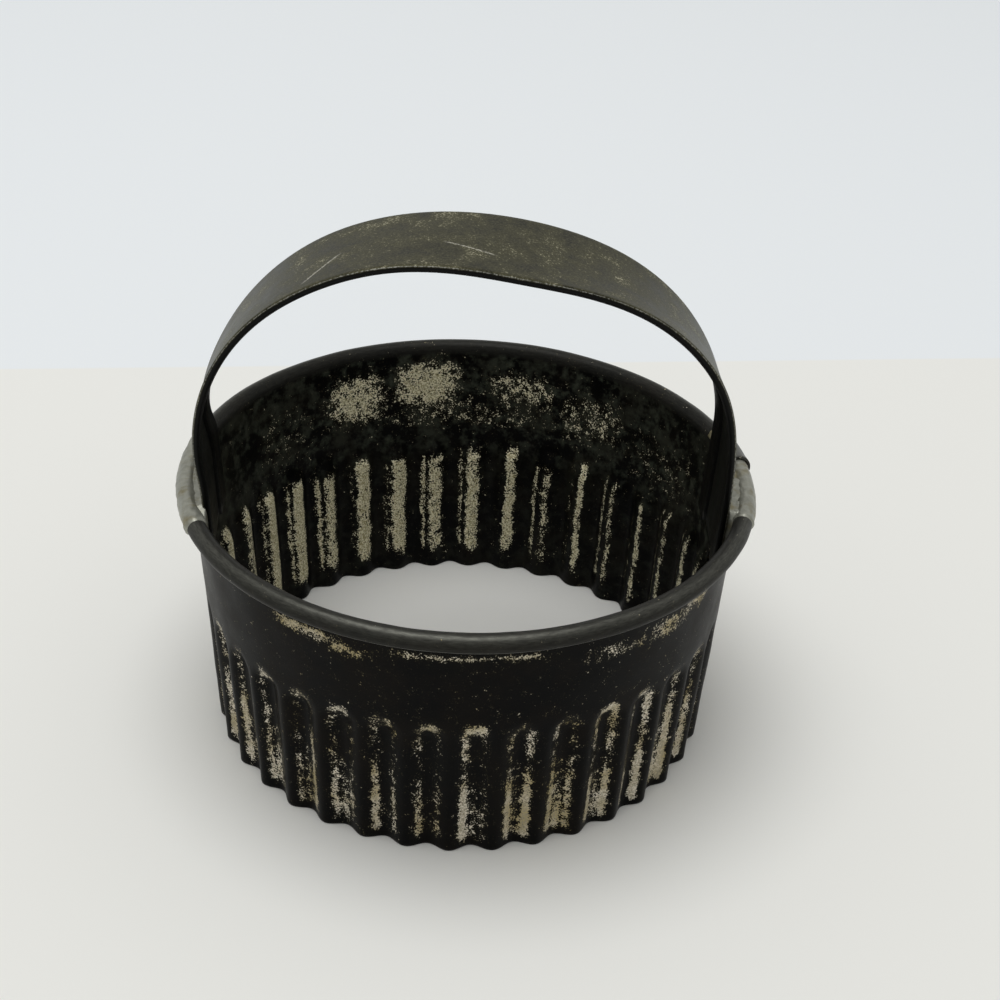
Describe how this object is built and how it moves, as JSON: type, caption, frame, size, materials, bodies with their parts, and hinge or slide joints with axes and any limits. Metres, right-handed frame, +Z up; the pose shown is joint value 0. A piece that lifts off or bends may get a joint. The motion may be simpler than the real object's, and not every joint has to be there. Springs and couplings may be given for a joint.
{
  "type": "biscuit cutter",
  "caption": "Fluted round biscuit cutter in tinplate, with a wired rim, a lapped side seam and a hemmed strap handle soldered across the top.",
  "frame": {"origin": "centre of the box, on the plane of the cutting edge", "axes": "+Z up along the axis of the ring, from the cutting edge to the handle; the handle spans X and is wide along Y; the lap seam is at +X"},
  "size_m": [0.077, 0.0764, 0.0714],
  "materials": {
    "aged_tinplate": "dark worn tinplate with mottled remains of bright tin",
    "iron_wire": "drawn iron wire, dull",
    "tin_solder": "soft solder, dull grey"
  },
  "bodies": {
    "root": {"fluted_band": "aged_tinplate", "rim_wire": "iron_wire", "handle_strap": "aged_tinplate", "handle_solder_left": "tin_solder", "handle_solder_right": "tin_solder", "seam_solder": "tin_solder"}
  },
  "joints": []
}
